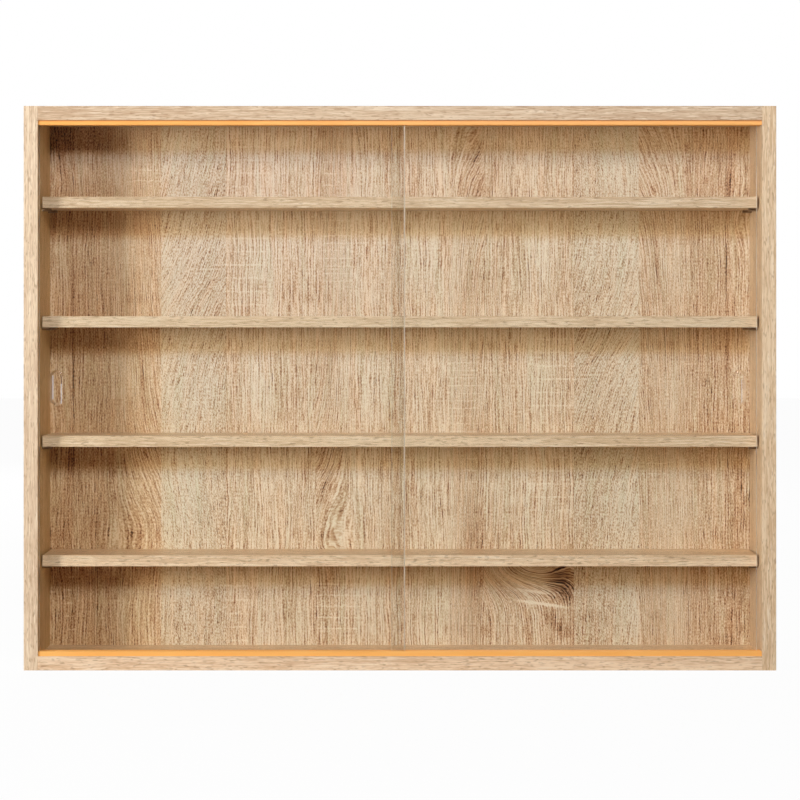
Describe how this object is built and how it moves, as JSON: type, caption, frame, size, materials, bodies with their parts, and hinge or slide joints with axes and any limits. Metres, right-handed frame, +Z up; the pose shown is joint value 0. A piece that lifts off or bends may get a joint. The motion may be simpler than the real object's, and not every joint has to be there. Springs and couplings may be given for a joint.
{
  "type": "collector display case",
  "caption": "Shallow wall or shelf display case of oak effect boards, with shelves on pins and glass doors that slide past each other in plastic tracks.",
  "frame": {"origin": "on the surface that the case stands on, under the middle of the case", "axes": "+X to the right as seen from the front, +Y from the front into the case, +Z up"},
  "size_m": [0.8, 0.095, 0.6],
  "materials": {
    "board_foil": "oak effect foil on chipboard, fine grain along each board",
    "edge_foil": "oak effect edge band, short dark grain lines along its length",
    "back_print": "printed oak planks with upright grain, knots and pale saw marks",
    "shelf_foil": "oak effect foil on chipboard, grain along the shelf",
    "track_plastic": "orange toned extruded plastic, satin",
    "door_glass": "clear toughened glass with ground edges",
    "pin_steel": "plain turned steel",
    "dowel_beech": "beech dowel",
    "screw_steel": "zinc plated steel",
    "hanger_steel": "zinc plated sheet steel",
    "cap_plastic": "oak toned moulded plastic",
    "back_tape": "brown paper joint tape"
  },
  "bodies": {
    "case": {"left_side_panel": "board_foil", "right_side_panel": "board_foil", "top_panel": "board_foil", "bottom_panel": "board_foil", "left_side_edge_band": "edge_foil", "right_side_edge_band": "edge_foil", "top_edge_band": "edge_foil", "bottom_edge_band": "edge_foil", "side_panel_end_bands": "edge_foil", "back_panel_left": "back_print", "back_panel_right": "back_print", "back_panel_tape": "back_tape", "top_track": "track_plastic", "bottom_track": "track_plastic", "corner_dowels": "dowel_beech", "corner_screws": "screw_steel", "screw_caps": "cap_plastic", "left_hanger_plate": "hanger_steel", "right_hanger_plate": "hanger_steel", "hanger_screws": "screw_steel", "shelf_1": "shelf_foil", "shelf_1_edge_band": "edge_foil", "shelf_1_pins": "pin_steel", "shelf_2": "shelf_foil", "shelf_2_edge_band": "edge_foil", "shelf_2_pins": "pin_steel", "shelf_3": "shelf_foil", "shelf_3_edge_band": "edge_foil", "shelf_3_pins": "pin_steel", "shelf_4": "shelf_foil", "shelf_4_edge_band": "edge_foil", "shelf_4_pins": "pin_steel"},
    "left_door": {"left_door_glass": "door_glass"},
    "right_door": {"right_door_glass": "door_glass"}
  },
  "joints": [
    {"name": "left_door_slide", "type": "slide", "parent": "case", "child": "left_door", "axis": [1, 0, 0], "range_m": [0, 0.379]},
    {"name": "right_door_slide", "type": "slide", "parent": "case", "child": "right_door", "axis": [1, 0, 0], "range_m": [-0.3756, 0.0034]}
  ]
}
